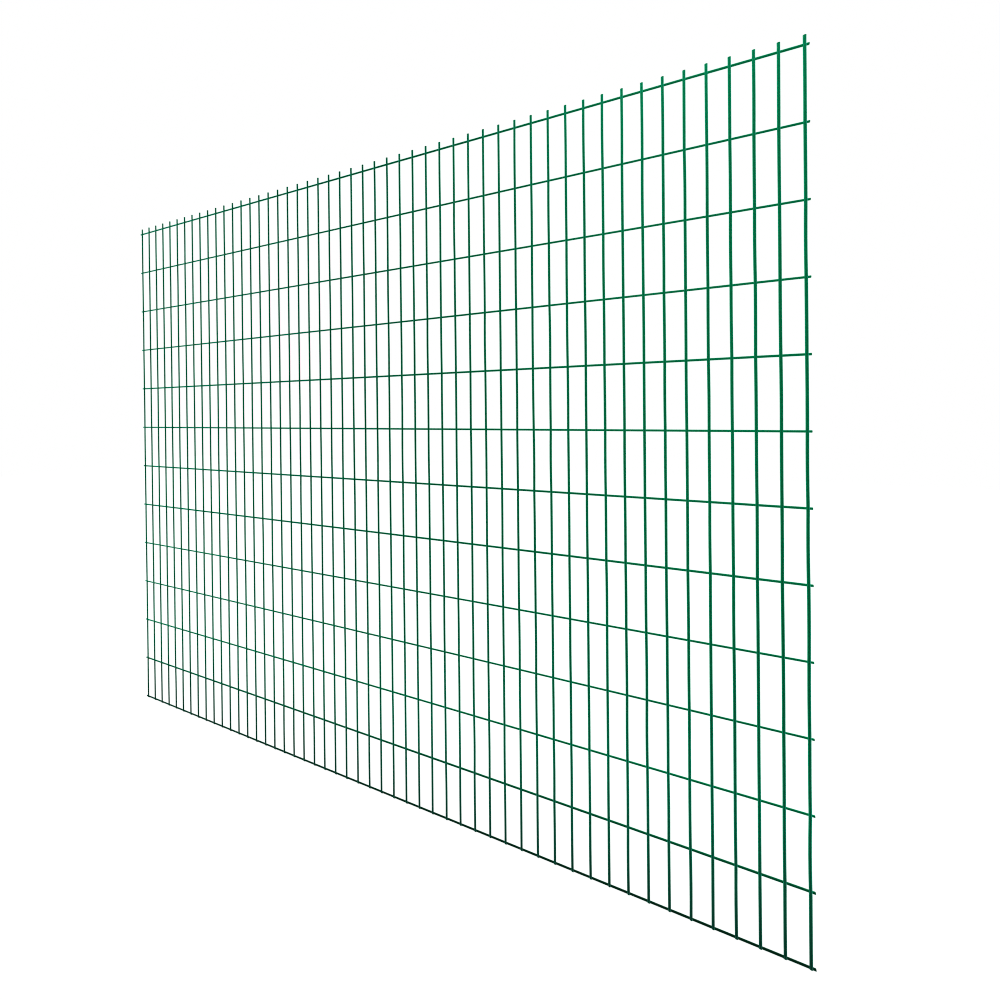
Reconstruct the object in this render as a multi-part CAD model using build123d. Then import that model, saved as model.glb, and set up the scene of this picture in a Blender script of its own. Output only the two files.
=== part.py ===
from build123d import *
import os
from math import cos, pi

# A flat welded mesh fence panel. X runs along the panel and Z up. The vertical wires lie on
# the front, towards -Y, and the horizontal wires lie behind them.
# The origin is at the middle of the flat underside of the bottom wire.
# All sizes are in millimetres. Wire sizes are over the plastic coat.

# Mesh, between the centres of the wires
vertical_pitch = 50.0
horizontal_pitch = 200.0
vertical_count = 51
horizontal_count = 13

# Wires, from flat to flat
vertical_wire_size = 7.5
horizontal_wire_size = 7.5
wire_sides = 8
cut_end_rounding = 0.8

# Free ends of the horizontals beyond the edge wires' centres, and of the tines above the top wire
left_overhang = 19.0
right_overhang = 11.0
tine_length = 18.0

# The verticals are cut off this far above the underside of the bottom wire, which the panel stands on
bottom_setback = 2.0

# Inner vertical wires that share one file
verticals_per_group = 7

# Worked out from the sizes above
mesh_width = (vertical_count - 1) * vertical_pitch
bottom_wire_height = horizontal_wire_size / 2
top_wire_height = bottom_wire_height + (horizontal_count - 1) * horizontal_pitch
horizontal_wire_length = left_overhang + mesh_width + right_overhang
vertical_wire_length = top_wire_height + horizontal_wire_size / 2 + tine_length - bottom_setback
vertical_wire_depth = -(horizontal_wire_size + vertical_wire_size) / 2


def wire(size, length):
    """A straight wire that stands on the XY plane, with its coat rounded over both cut ends."""
    corner_radius = size / 2 / cos(pi / wire_sides)
    section = RegularPolygon(radius=corner_radius, side_count=wire_sides, rotation=180 / wire_sides)
    bar = extrude(section, amount=length)
    cut_ends = bar.faces().filter_by(Axis.Z)
    return chamfer(cut_ends.edges(), cut_end_rounding)


def horizontal_wire_name(index):
    """The name of the horizontal wire at this place, counted from the bottom."""
    if index == 0:
        return "bottom_wire"
    if index == horizontal_count - 1:
        return "top_wire"
    return f"horizontal_wire_{index + 1:02d}"


def horizontal_wires():
    """Every horizontal wire, with its centre line on Y = 0."""
    lying_wire = Rot(0, 90, 0) * wire(horizontal_wire_size, horizontal_wire_length)
    left_end = -mesh_width / 2 - left_overhang
    wires = {}
    for index in range(horizontal_count):
        height = bottom_wire_height + index * horizontal_pitch
        wires[horizontal_wire_name(index)] = Pos(left_end, 0, height) * lying_wire
    return wires


def vertical_wires():
    """The vertical wires on the front flats of the horizontals: the two at the edges by
    themselves, and the inner ones in groups that stand side by side."""
    upright_wire = wire(vertical_wire_size, vertical_wire_length)
    places = [Pos(index * vertical_pitch - mesh_width / 2, vertical_wire_depth, bottom_setback)
              for index in range(vertical_count)]
    wires = {
        "left_edge_wire": places[0] * upright_wire,
        "right_edge_wire": places[-1] * upright_wire,
    }
    inner_places = places[1:-1]
    for first in range(0, len(inner_places), verticals_per_group):
        group_places = inner_places[first:first + verticals_per_group]
        group = first // verticals_per_group + 1
        wires[f"vertical_wires_{group}"] = Compound(children=[place * upright_wire for place in group_places])
    return wires


os.makedirs("parts", exist_ok=True)
for name, shape in {**horizontal_wires(), **vertical_wires()}.items():
    export_step(shape, f"parts/{name}.step")
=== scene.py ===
import bpy
import math
import random
from mathutils import Matrix, Vector


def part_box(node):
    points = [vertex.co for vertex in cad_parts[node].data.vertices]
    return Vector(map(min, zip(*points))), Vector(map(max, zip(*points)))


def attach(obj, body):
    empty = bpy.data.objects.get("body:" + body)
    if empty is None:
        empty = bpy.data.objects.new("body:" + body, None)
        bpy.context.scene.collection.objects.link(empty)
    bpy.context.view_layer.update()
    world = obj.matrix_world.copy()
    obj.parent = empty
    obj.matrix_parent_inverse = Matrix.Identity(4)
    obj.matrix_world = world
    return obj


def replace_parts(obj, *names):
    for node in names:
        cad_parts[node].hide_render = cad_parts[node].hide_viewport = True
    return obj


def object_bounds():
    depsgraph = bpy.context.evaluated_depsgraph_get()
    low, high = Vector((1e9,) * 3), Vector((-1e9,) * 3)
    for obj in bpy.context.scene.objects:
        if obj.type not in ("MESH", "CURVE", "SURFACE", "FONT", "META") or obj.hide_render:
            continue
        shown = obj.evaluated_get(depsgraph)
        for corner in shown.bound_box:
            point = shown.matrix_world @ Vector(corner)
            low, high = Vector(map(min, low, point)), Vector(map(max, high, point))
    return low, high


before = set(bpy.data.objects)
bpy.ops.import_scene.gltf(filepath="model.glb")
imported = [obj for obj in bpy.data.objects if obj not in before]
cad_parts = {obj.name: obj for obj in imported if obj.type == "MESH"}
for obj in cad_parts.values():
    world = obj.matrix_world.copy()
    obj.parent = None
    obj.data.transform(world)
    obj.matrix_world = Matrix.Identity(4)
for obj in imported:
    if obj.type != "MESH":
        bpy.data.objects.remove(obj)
cad_low, cad_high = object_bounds()

# Wires, in metres. The verticals' feet are rounder than the other cut ends, and end a little higher
# than those of the solids. Between two welds a wire is drawn in this many steps.
wire_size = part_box("top_wire")[1].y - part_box("top_wire")[0].y
wire_radius = wire_size / 2
wire_faces = 16
end_rounding = 0.0008
foot_rounding = 0.003
foot_lift = 0.002
end_steps = 4
vertical_pitch = 0.05
vertical_steps = 4
horizontal_steps = 2

# How far the wires stray from straight lines, and how far they sink into each other at the welds
stray_at_welds = 0.0002
stray_between_welds = 0.0003
weld_sink = 0.0003
sink_reach = 0.006
marks_beside_weld = 2

# The coat is a little uneven, swells at the cut ends and is thinner on some of the horizontal wires,
# by so much of its depth
coat_variation = 0.00006
end_swell = 0.0001
swell_reach = 0.004
marks_by_end = 3
thinner_coats = {
    "horizontal_wire_03": 0.0003,
    "horizontal_wire_04": 0.0005,
    "horizontal_wire_05": 0.0004,
    "horizontal_wire_08": 0.0002,
    "horizontal_wire_10": 0.0002,
    "horizontal_wire_11": 0.0003,
    "horizontal_wire_12": 0.0003,
}

# The coat's shades, gloss and faint mottle, and the tinted gloss that it has at grazing angles
dark_green = (0.0, 0.28, 0.09, 1)
light_green = (0.0, 0.36, 0.12, 1)
mottle_scale = 120.0
mottle_range = (0.95, 1.05)
roughness_range = (0.22, 0.42)
specular_level = 0.03
grazing_tint = (0.0, 1.0, 0.66, 1)
grazing_roughness = 0.3
grazing_power = 2.0

# How fast the shade drifts in each direction: slowly along a wire, and much from wire to wire
vertical_drift = (23, 1, 0.7)
horizontal_drift = (0.7, 1, 6)

# Orange peel
peel_scale = 700.0
peel_strength = 0.14
peel_depth = 0.0002

# Painted shade near the floor: the lowest wires are darker and duller, down to these shares of their colour
# and gloss at the ground
darkened_height = 0.38
ground_colour_share = 0.1
ground_gloss_share = 0.28

# Weld beads
bead_radius = 0.0027
bead_corner = 0.0013
bead_thickness = 0.0016
bead_swell_range = (0.9, 1.1)
bead_turn = 0.1
lobe_sharpness = 1.5
bead_meridians = 16
bead_parallels = 7

random_source = random.Random(41)


def node_centre(name):
    """The middle of a node's box."""
    low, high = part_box(name)
    return (low + high) / 2


def nodes_named(part):
    """The frame's node names that contain this text, in order."""
    return sorted(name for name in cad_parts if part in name)


horizontal_nodes = ["bottom_wire"] + nodes_named("horizontal_wire") + ["top_wire"]
vertical_nodes = ["left_edge_wire"] + nodes_named("vertical_wires") + ["right_edge_wire"]
weld_heights = [node_centre(name).z for name in horizontal_nodes]
horizontal_depth = node_centre("top_wire").y
vertical_depth = node_centre("left_edge_wire").y
contact_depth = (horizontal_depth + vertical_depth) / 2


def vertical_places(name):
    """Where each vertical wire of a node stands, along the panel."""
    low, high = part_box(name)
    count = round((high.x - low.x - wire_size) / vertical_pitch) + 1
    return [low.x + wire_size / 2 + index * vertical_pitch for index in range(count)]


weld_places = [x for name in vertical_nodes for x in vertical_places(name)]


class MeshData:
    """Corners and faces gathered for one piece."""

    def __init__(self):
        self.corners = []
        self.faces = []

    def add_rings(self, rings):
        """A closed skin through rings of as many corners each, with a fan over both ends."""
        start = len(self.corners)
        sides = len(rings[0])
        for ring in rings:
            self.corners.extend(ring)
        for number in range(len(rings) - 1):
            lower = start + number * sides
            upper = lower + sides
            for side in range(sides):
                after = (side + 1) % sides
                self.faces.append((lower + side, lower + after, upper + after, upper + side))
        self.add_fan(rings[0], start, outward=False)
        self.add_fan(rings[-1], start + (len(rings) - 1) * sides, outward=True)

    def add_fan(self, ring, first, outward):
        """Close a ring with triangles about its middle."""
        middle = len(self.corners)
        self.corners.append((ring[0] + ring[len(ring) // 2]) / 2)
        for side in range(len(ring)):
            after = (side + 1) % len(ring)
            pair = (first + side, first + after) if outward else (first + after, first + side)
            self.faces.append((*pair, middle))

    def piece(self, name, material):
        """The finished object, smooth shaded, riding on the panel's one body."""
        mesh = bpy.data.meshes.new(name)
        mesh.from_pydata(self.corners, [], self.faces)
        mesh.polygons.foreach_set("use_smooth", [True] * len(mesh.polygons))
        mesh.materials.append(material)
        made = bpy.data.objects.new(name, mesh)
        bpy.context.scene.collection.objects.link(made)
        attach(made, "root")
        return made


def stations_along(start, end, welds, steps_between):
    """Places along a wire: close together by its ends and at each weld, and evenly spaced between welds."""
    marks = {start, end}
    for step in range(1, marks_by_end + 1):
        marks.update((start + step * swell_reach / 2, end - step * swell_reach / 2))
    for weld in welds:
        marks.update(weld + sink_reach * step / marks_beside_weld
                     for step in range(-marks_beside_weld, marks_beside_weld + 1))
    for before, after in zip(welds, welds[1:]):
        gap = (after - before) / steps_between
        marks.update(before + gap * step for step in range(1, steps_between))
    return sorted(mark for mark in marks if start <= mark <= end)


def stray_function(welds):
    """A smooth sideways stray: a little off at each weld, and bowed a little between two welds."""
    at_welds = [random_source.gauss(0, stray_at_welds) for _ in welds]
    bows = [random_source.gauss(0, stray_between_welds) for _ in welds[1:]]

    def stray(place):
        if place <= welds[0]:
            return at_welds[0]
        for number, bow in enumerate(bows):
            before, after = welds[number], welds[number + 1]
            if place <= after:
                share = (place - before) / (after - before)
                line = at_welds[number] * (1 - share) + at_welds[number + 1] * share
                return line + bow * math.sin(math.pi * share)
        return at_welds[-1]

    return stray


def sink_at(place, welds):
    """How far a wire is pressed towards the one that it crosses, at this place along it."""
    nearest = min(abs(place - weld) for weld in welds)
    return weld_sink * math.exp(-(nearest / (sink_reach / 2)) ** 2)


def swell_at(place, start, end):
    """How much thinner the coat is here than at the nearer cut end."""
    nearest = min(place - start, end - place)
    return end_swell * (1 - math.exp(-(nearest / swell_reach) ** 2))


def rounded_end(rounding):
    """How far each ring of a rounded end stands from the end, and how much thinner it is than the wire."""
    angles = [math.pi / 2 * step / end_steps for step in range(end_steps)]
    return [(rounding * (1 - math.cos(angle)), rounding * (1 - math.sin(angle))) for angle in angles]


def wire_rings(start, end, first_rounding, welds, steps_between, full_radius, place_on_wire, across, out):
    """Rings of corners along one round wire. place_on_wire gives the centre line."""
    first_end = [(start + depth, inset) for depth, inset in rounded_end(first_rounding)]
    last_end = [(end - depth, inset) for depth, inset in reversed(rounded_end(end_rounding))]
    between = stations_along(start + first_rounding, end - end_rounding, welds, steps_between)
    rings = []
    for place, inset in first_end + [(place, 0.0) for place in between] + last_end:
        centre = place_on_wire(place)
        unevenness = min(abs(random_source.gauss(0, coat_variation)), 2 * coat_variation)
        radius = full_radius - inset - swell_at(place, start, end) - unevenness
        ring = []
        for side in range(wire_faces):
            angle = 2 * math.pi * side / wire_faces
            ring.append(centre + across * (radius * math.cos(angle)) + out * (radius * math.sin(angle)))
        rings.append(ring)
    return rings


def add_vertical_wire(data, x):
    """One vertical wire, from its foot on the bottom wire to its tip."""
    low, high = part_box("left_edge_wire")
    stray = stray_function(weld_heights)

    def centre(height):
        return Vector((x + stray(height), vertical_depth + sink_at(height, weld_heights), height))

    data.add_rings(wire_rings(low.z + foot_lift, high.z, foot_rounding, weld_heights, vertical_steps,
                              wire_radius, centre, Vector((1, 0, 0)), Vector((0, 1, 0))))
    return stray


def add_horizontal_wire(data, name):
    """One horizontal wire from cut end to cut end, held a little inside its box so that it can stray."""
    low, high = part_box(name)
    height = node_centre(name).z
    radius = wire_radius - coat_variation - thinner_coats.get(name, 0.0)
    stray = stray_function(weld_places)

    def centre(x):
        inside = max(-1.0, min(1.0, stray(x) / stray_at_welds)) * coat_variation
        return Vector((x, horizontal_depth - sink_at(x, weld_places), height + inside))

    data.add_rings(wire_rings(low.x, high.x, end_rounding, weld_places, horizontal_steps, radius,
                              centre, Vector((0, 1, 0)), Vector((0, 0, 1))))


def add_bead(data, centre):
    """One squeezed weld bead, with a low corner in each crotch of the crossing."""
    swell = random_source.uniform(*bead_swell_range)
    turn = random_source.gauss(0, bead_turn)
    rings = []
    for parallel in range(1, bead_parallels):
        rise = math.pi * parallel / bead_parallels
        ring = []
        for meridian in range(bead_meridians):
            angle = 2 * math.pi * meridian / bead_meridians
            lobe = abs(math.sin(2 * angle + turn)) ** lobe_sharpness
            reach = (bead_radius + bead_corner * lobe) * swell * math.sin(rise)
            forward = -bead_thickness * math.cos(rise)
            corner = centre + Vector((reach * math.cos(angle), forward, reach * math.sin(angle)))
            corner.z = max(corner.z, cad_low.z)
            ring.append(corner)
        rings.append(ring)
    data.add_rings([list(reversed(ring)) for ring in rings])


def node_tree_of(owner):
    """The nodes and links of a new material or world, which holds a shader and an output."""
    owner.use_nodes = True
    return owner.node_tree.nodes, owner.node_tree.links


def noise(nodes, links, source, scale, detail):
    """A noise texture read at these coordinates."""
    texture = nodes.new("ShaderNodeTexNoise")
    texture.inputs["Scale"].default_value = scale
    texture.inputs["Detail"].default_value = detail
    links.new(source, texture.inputs["Vector"])
    return texture.outputs["Fac"]


def ranged(nodes, links, source, low, high):
    """The middle half of a noise, spread from low to high."""
    spread = nodes.new("ShaderNodeMapRange")
    spread.inputs["From Min"].default_value = 0.25
    spread.inputs["From Max"].default_value = 0.75
    spread.inputs["To Min"].default_value = low
    spread.inputs["To Max"].default_value = high
    links.new(source, spread.inputs["Value"])
    return spread.outputs["Result"]


def multiplied(nodes, links, first, second):
    """The product of two numbers from other nodes."""
    product = nodes.new("ShaderNodeMath")
    product.operation = "MULTIPLY"
    links.new(first, product.inputs[0])
    links.new(second, product.inputs[1])
    return product.outputs["Value"]


def painted_ground_shade(nodes, links, place, ground_share):
    """Painted shade near the floor: 1 for the coat higher up, falling to this share at the ground."""
    parts = nodes.new("ShaderNodeSeparateXYZ")
    links.new(place, parts.inputs["Vector"])
    clean = nodes.new("ShaderNodeMapRange")
    clean.inputs["From Min"].default_value = 0.0
    clean.inputs["From Max"].default_value = darkened_height
    clean.inputs["To Min"].default_value = ground_share
    clean.inputs["To Max"].default_value = 1.0
    links.new(parts.outputs["Z"], clean.inputs["Value"])
    return clean.outputs["Result"]


def grazing_share(nodes, links):
    """How much of the surface's gloss shows: most where it is seen at a grazing angle."""
    facing = nodes.new("ShaderNodeLayerWeight")
    facing.inputs["Blend"].default_value = 0.5
    gathered = nodes.new("ShaderNodeMath")
    gathered.operation = "POWER"
    gathered.inputs[1].default_value = grazing_power
    links.new(facing.outputs["Facing"], gathered.inputs[0])
    return gathered.outputs["Value"]


def green_coat(name, drift_speed):
    """Glossy green plastic: each wire a shade of its own, a faint orange peel, uneven gloss and a
    green gloss at grazing angles, where light comes back through the coat's outer skin."""
    material = bpy.data.materials.new(name)
    nodes, links = node_tree_of(material)
    shader = nodes["Principled BSDF"]
    place = nodes.new("ShaderNodeTexCoord").outputs["Object"]
    along = nodes.new("ShaderNodeMapping")
    along.inputs["Scale"].default_value = drift_speed
    links.new(place, along.inputs["Vector"])

    drift = noise(nodes, links, along.outputs["Vector"], scale=1.0, detail=2.0)
    tone = nodes.new("ShaderNodeValToRGB")
    tone.color_ramp.elements[0].position = 0.3
    tone.color_ramp.elements[0].color = dark_green
    tone.color_ramp.elements[1].position = 0.7
    tone.color_ramp.elements[1].color = light_green
    links.new(drift, tone.inputs["Fac"])
    mottle = noise(nodes, links, place, mottle_scale, detail=3.0)
    toned = nodes.new("ShaderNodeVectorMath")
    toned.operation = "SCALE"
    links.new(tone.outputs["Color"], toned.inputs[0])
    # Painted shade: the coat's colour darkens towards the ground
    shade = multiplied(nodes, links, ranged(nodes, links, mottle, *mottle_range),
                       painted_ground_shade(nodes, links, place, ground_colour_share))
    links.new(shade, toned.inputs["Scale"])
    links.new(toned.outputs["Vector"], shader.inputs["Base Color"])
    links.new(ranged(nodes, links, mottle, *roughness_range), shader.inputs["Roughness"])
    shader.inputs["Specular IOR Level"].default_value = specular_level

    bump = nodes.new("ShaderNodeBump")
    bump.inputs["Strength"].default_value = peel_strength
    bump.inputs["Distance"].default_value = peel_depth
    links.new(noise(nodes, links, place, peel_scale, detail=2.0), bump.inputs["Height"])
    links.new(bump.outputs["Normal"], shader.inputs["Normal"])

    gloss = nodes.new("ShaderNodeBsdfGlossy")
    gloss.inputs["Color"].default_value = grazing_tint
    gloss.inputs["Roughness"].default_value = grazing_roughness
    links.new(bump.outputs["Normal"], gloss.inputs["Normal"])
    glossed = nodes.new("ShaderNodeMixShader")
    # Painted shade: the grazing gloss dims towards the ground
    gloss_share = multiplied(nodes, links, grazing_share(nodes, links),
                             painted_ground_shade(nodes, links, place, ground_gloss_share))
    links.new(gloss_share, glossed.inputs["Fac"])
    links.new(shader.outputs["BSDF"], glossed.inputs[1])
    links.new(gloss.outputs["BSDF"], glossed.inputs[2])
    links.new(glossed.outputs["Shader"], nodes["Material Output"].inputs["Surface"])
    return material


def make_wires():
    """All the wires and weld beads."""
    vertical_coat = green_coat("green_coat_verticals", vertical_drift)
    horizontal_coat = green_coat("green_coat_horizontals", horizontal_drift)
    strays = []
    for name in vertical_nodes:
        data = MeshData()
        for x in vertical_places(name):
            strays.append(add_vertical_wire(data, x))
        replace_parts(data.piece(f"round_{name}", vertical_coat), name)
    for name in horizontal_nodes:
        data = MeshData()
        add_horizontal_wire(data, name)
        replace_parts(data.piece(f"round_{name}", horizontal_coat), name)
        beads = MeshData()
        height = node_centre(name).z
        for x, stray in zip(weld_places, strays):
            add_bead(beads, Vector((x + stray(height), contact_depth, height)))
        beads.piece(f"welds_on_{name}", horizontal_coat)


# Lamps: where they hang, what they are aimed at, their width and height, and their power
key_place = Vector((1.0, -1.0, 1.8))
key_target = Vector((1.1, 0, 1.8))
key_size = (0.5, 2.1)
key_power = 2.2
top_place = Vector((0.95, -0.3, 2.66))
top_target = Vector((0.95, 0, 2.42))
top_size = (0.8, 0.1)
top_power = 0.3
lamp_spread = math.radians(120)

# A surround that is bright on one side and dim on the other. The last two figures say how far a
# direction is turned to the bright side where each level is reached.
bright_side = Vector((-0.25, 0.92, 0.3)).normalized()
bright_level = 2.2
dim_level = 0.01
bright_from = 0.9
dim_from = -0.1

# Camera: its place, where it looks and its lens, worked out from where the mesh falls in the picture
picture_width = 1000
sensor_width = 36.0
camera_place = Vector((0.8518, -1.8322, 1.4669))
camera_turn = math.radians(-32.265)
camera_tilt = math.radians(-0.272)
camera_roll = math.radians(-0.697)
focal_pixels = 514.83
centre_column = 300.0
centre_row = 415.70

# How far the floor reaches from the origin, how pale it is to the rays that light things and to
# those that show it, and the white glow that is mixed into what shows, so that a soft shadow stays
floor_reach = 12.0
floor_lit_paleness = 0.1
floor_seen_paleness = 0.8
floor_glow = 1.10
floor_glow_share = 0.9


def make_camera():
    """The picture's camera, all but level, with its lens shifted to bring the mesh to its place."""
    camera = bpy.data.cameras.new("camera")
    camera.sensor_width = sensor_width
    camera.lens = camera.sensor_width * focal_pixels / picture_width
    camera.shift_x = (picture_width / 2 - centre_column) / picture_width
    camera.shift_y = (centre_row - picture_width / 2) / picture_width
    made = bpy.data.objects.new("camera", camera)
    forward = Vector((math.sin(camera_turn) * math.cos(camera_tilt),
                      math.cos(camera_turn) * math.cos(camera_tilt), math.sin(camera_tilt)))
    level = Vector((math.cos(camera_turn), -math.sin(camera_turn), 0))
    upright = level.cross(forward)
    right = level * math.cos(camera_roll) + upright * math.sin(camera_roll)
    up = upright * math.cos(camera_roll) - level * math.sin(camera_roll)
    turned = Matrix((right, up, -forward)).transposed().to_4x4()
    made.matrix_world = Matrix.Translation(camera_place) @ turned
    bpy.context.scene.collection.objects.link(made)
    bpy.context.scene.camera = made


def strip_light(name, place, target, size, power):
    """A soft oblong light aimed at a point, which doesn't show in the picture."""
    lamp = bpy.data.lights.new(name, "AREA")
    lamp.shape = "RECTANGLE"
    lamp.size = size[0]
    lamp.size_y = size[1]
    lamp.energy = power
    lamp.spread = lamp_spread
    made = bpy.data.objects.new(name, lamp)
    made.location = place
    made.rotation_euler = (target - place).to_track_quat("-Z", "Y").to_euler()
    made.visible_camera = False
    bpy.context.scene.collection.objects.link(made)


def seen_rays(nodes, links):
    """1 for rays that show the surroundings, also in a reflection, and 0 for those that light things."""
    rays = nodes.new("ShaderNodeLightPath")
    result = rays.outputs["Is Camera Ray"]
    for kind in ("Is Glossy Ray", "Is Transmission Ray"):
        either = nodes.new("ShaderNodeMath")
        either.operation = "MAXIMUM"
        links.new(result, either.inputs[0])
        links.new(rays.outputs[kind], either.inputs[1])
        result = either.outputs["Value"]
    return result


def make_lights():
    """A tall soft key light in front of the right end and a small one near its tips, in a surround
    that is brightest behind the panel."""
    strip_light("key", key_place, key_target, key_size, key_power)
    strip_light("top", top_place, top_target, top_size, top_power)
    world = bpy.data.worlds.new("surround")
    bpy.context.scene.world = world
    nodes, links = node_tree_of(world)
    background = nodes["Background"]
    background.inputs["Color"].default_value = (1, 1, 1, 1)
    direction = nodes.new("ShaderNodeTexCoord")
    turned_to = nodes.new("ShaderNodeVectorMath")
    turned_to.operation = "DOT_PRODUCT"
    turned_to.inputs[1].default_value = bright_side
    links.new(direction.outputs["Generated"], turned_to.inputs[0])
    level = nodes.new("ShaderNodeMapRange")
    level.inputs["From Min"].default_value = dim_from
    level.inputs["From Max"].default_value = bright_from
    level.inputs["To Min"].default_value = dim_level
    level.inputs["To Max"].default_value = bright_level
    links.new(turned_to.outputs["Value"], level.inputs["Value"])
    strength = nodes.new("ShaderNodeMix")
    strength.inputs["B"].default_value = 1.0
    links.new(seen_rays(nodes, links), strength.inputs["Factor"])
    links.new(level.outputs["Result"], strength.inputs["A"])
    links.new(strength.outputs["Result"], background.inputs["Strength"])


def make_floor():
    """A plain white floor that keeps a soft shadow."""
    mesh = bpy.data.meshes.new("floor")
    corners = [(-floor_reach, -floor_reach, 0), (floor_reach, -floor_reach, 0),
               (floor_reach, floor_reach, 0), (-floor_reach, floor_reach, 0)]
    mesh.from_pydata(corners, [], [(0, 1, 2, 3)])
    floor = bpy.data.objects.new("floor", mesh)
    bpy.context.scene.collection.objects.link(floor)
    material = bpy.data.materials.new("white_floor")
    nodes, links = node_tree_of(material)
    shader = nodes["Principled BSDF"]
    shader.inputs["Roughness"].default_value = 0.9
    shader.inputs["Specular IOR Level"].default_value = 0.0
    seen = seen_rays(nodes, links)
    paleness = nodes.new("ShaderNodeMix")
    paleness.inputs["A"].default_value = floor_lit_paleness
    paleness.inputs["B"].default_value = floor_seen_paleness
    links.new(seen, paleness.inputs["Factor"])
    links.new(paleness.outputs["Result"], shader.inputs["Base Color"])
    glow = nodes.new("ShaderNodeEmission")
    share = nodes.new("ShaderNodeMath")
    share.operation = "MULTIPLY"
    share.inputs[1].default_value = floor_glow_share
    links.new(seen, share.inputs[0])
    glow.inputs["Strength"].default_value = floor_glow
    mixed = nodes.new("ShaderNodeMixShader")
    links.new(share.outputs["Value"], mixed.inputs["Fac"])
    links.new(shader.outputs["BSDF"], mixed.inputs[1])
    links.new(glow.outputs["Emission"], mixed.inputs[2])
    links.new(mixed.outputs["Shader"], nodes["Material Output"].inputs["Surface"])
    mesh.materials.append(material)


make_wires()
make_camera()
make_lights()
make_floor()
bpy.context.scene.view_settings.view_transform = "Standard"
bpy.context.scene.cycles.filter_width = 1.0
